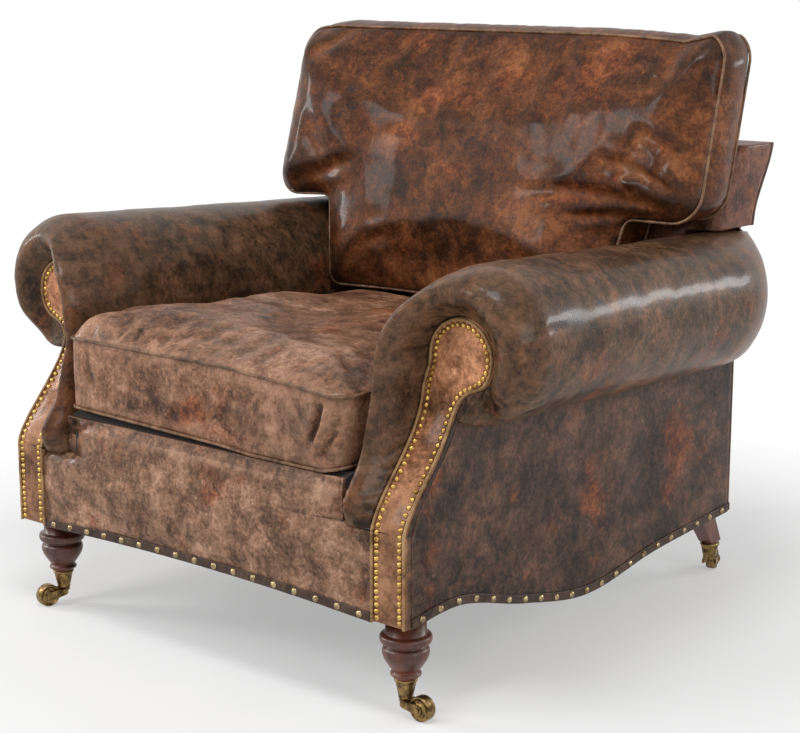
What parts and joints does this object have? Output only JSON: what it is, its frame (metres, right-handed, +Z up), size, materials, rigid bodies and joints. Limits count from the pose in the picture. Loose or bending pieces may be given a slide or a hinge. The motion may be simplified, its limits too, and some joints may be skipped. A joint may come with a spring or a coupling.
{
  "type": "club chair",
  "caption": "Deep upholstered armchair with rolled scroll arms, loose seat and back cushions, nailed trim, turned front legs and castors.",
  "frame": {"origin": "on the floor, at the middle of the chair's bounding box in width and depth", "axes": "+X to the sitter's left, +Y to the rear, +Z up"},
  "size_m": [1.1258, 0.9603, 0.962],
  "materials": {
    "distressed_leather": "worn waxed leather, mottled",
    "tan_leather": "worn leather",
    "welt_leather": "rubbed leather cord",
    "band_leather": "dark leather strip",
    "beech_timber": "sawn",
    "mahogany_stain": "stained and polished",
    "antique_brass": "aged",
    "spring_steel": "drawn wire",
    "dust_cloth": "woven"
  },
  "bodies": {
    "chair": {"arm_facing_left": "tan_leather", "arm_facing_right": "tan_leather", "arm_post_left": "beech_timber", "arm_post_right": "beech_timber", "arm_rail_left": "beech_timber", "arm_rail_right": "beech_timber", "arm_upholstery_left": "distressed_leather", "arm_upholstery_right": "distressed_leather", "back_cushion": "distressed_leather", "back_post_left": "mahogany_stain", "back_post_right": "mahogany_stain", "back_stay_rail": "beech_timber", "back_top_rail": "beech_timber", "bottom_band_front": "band_leather", "bottom_band_left": "band_leather", "bottom_band_rear": "band_leather", "bottom_band_right": "band_leather", "castor_cup_front_left": "antique_brass", "castor_cup_front_right": "antique_brass", "castor_cup_rear_left": "antique_brass", "castor_cup_rear_right": "antique_brass", "corner_block_left": "beech_timber", "corner_block_right": "beech_timber", "dust_cover": "dust_cloth", "facing_nails_left": "antique_brass", "facing_nails_right": "antique_brass", "facing_welt_left": "welt_leather", "facing_welt_right": "welt_leather", "front_border": "distressed_leather", "front_leg_left": "mahogany_stain", "front_leg_right": "mahogany_stain", "front_rail": "beech_timber", "inside_back": "distressed_leather", "outside_arm_left": "distressed_leather", "outside_arm_right": "distressed_leather", "outside_back": "distressed_leather", "rear_seat_rail": "beech_timber", "seat_cushion": "distressed_leather", "seat_deck": "dust_cloth", "seat_spring_1": "spring_steel", "seat_spring_2": "spring_steel", "seat_spring_3": "spring_steel", "seat_spring_4": "spring_steel", "side_rail_left": "beech_timber", "side_rail_right": "beech_timber"},
    "castor_front_left": {"castor_horn_front_left": "antique_brass", "castor_axle_front_left": "antique_brass"},
    "wheel_front_left": {"castor_wheel_front_left": "antique_brass"},
    "castor_front_right": {"castor_horn_front_right": "antique_brass", "castor_axle_front_right": "antique_brass"},
    "wheel_front_right": {"castor_wheel_front_right": "antique_brass"},
    "castor_rear_left": {"castor_horn_rear_left": "antique_brass", "castor_axle_rear_left": "antique_brass"},
    "wheel_rear_left": {"castor_wheel_rear_left": "antique_brass"},
    "castor_rear_right": {"castor_horn_rear_right": "antique_brass", "castor_axle_rear_right": "antique_brass"},
    "wheel_rear_right": {"castor_wheel_rear_right": "antique_brass"}
  },
  "joints": [
    {"name": "swivel_front_left", "type": "hinge", "parent": "chair", "child": "castor_front_left", "pos_m": [0.385, -0.4251, 0.0265], "axis": [0, 0, 1], "continuous": true},
    {"name": "roll_front_left", "type": "hinge", "parent": "castor_front_left", "child": "wheel_front_left", "pos_m": [0.416, -0.4251, 0.019], "axis": [0, 1, 0], "continuous": true},
    {"name": "swivel_front_right", "type": "hinge", "parent": "chair", "child": "castor_front_right", "pos_m": [-0.385, -0.4251, 0.0265], "axis": [0, 0, 1], "continuous": true},
    {"name": "roll_front_right", "type": "hinge", "parent": "castor_front_right", "child": "wheel_front_right", "pos_m": [-0.39092, -0.45553, 0.019], "axis": [0.9816, -0.1908, 0], "continuous": true},
    {"name": "swivel_rear_left", "type": "hinge", "parent": "chair", "child": "castor_rear_left", "pos_m": [0.377, 0.4309, 0.0265], "axis": [0, 0, 1], "continuous": true},
    {"name": "roll_rear_left", "type": "hinge", "parent": "castor_rear_left", "child": "wheel_rear_left", "pos_m": [0.3664, 0.46003, 0.019], "axis": [-0.9397, -0.342, 0], "continuous": true},
    {"name": "swivel_rear_right", "type": "hinge", "parent": "chair", "child": "castor_rear_right", "pos_m": [-0.377, 0.4309, 0.0265], "axis": [0, 0, 1], "continuous": true},
    {"name": "roll_rear_right", "type": "hinge", "parent": "castor_rear_right", "child": "wheel_rear_right", "pos_m": [-0.36439, 0.45922, 0.019], "axis": [-0.9135, 0.4067, 0], "continuous": true}
  ]
}
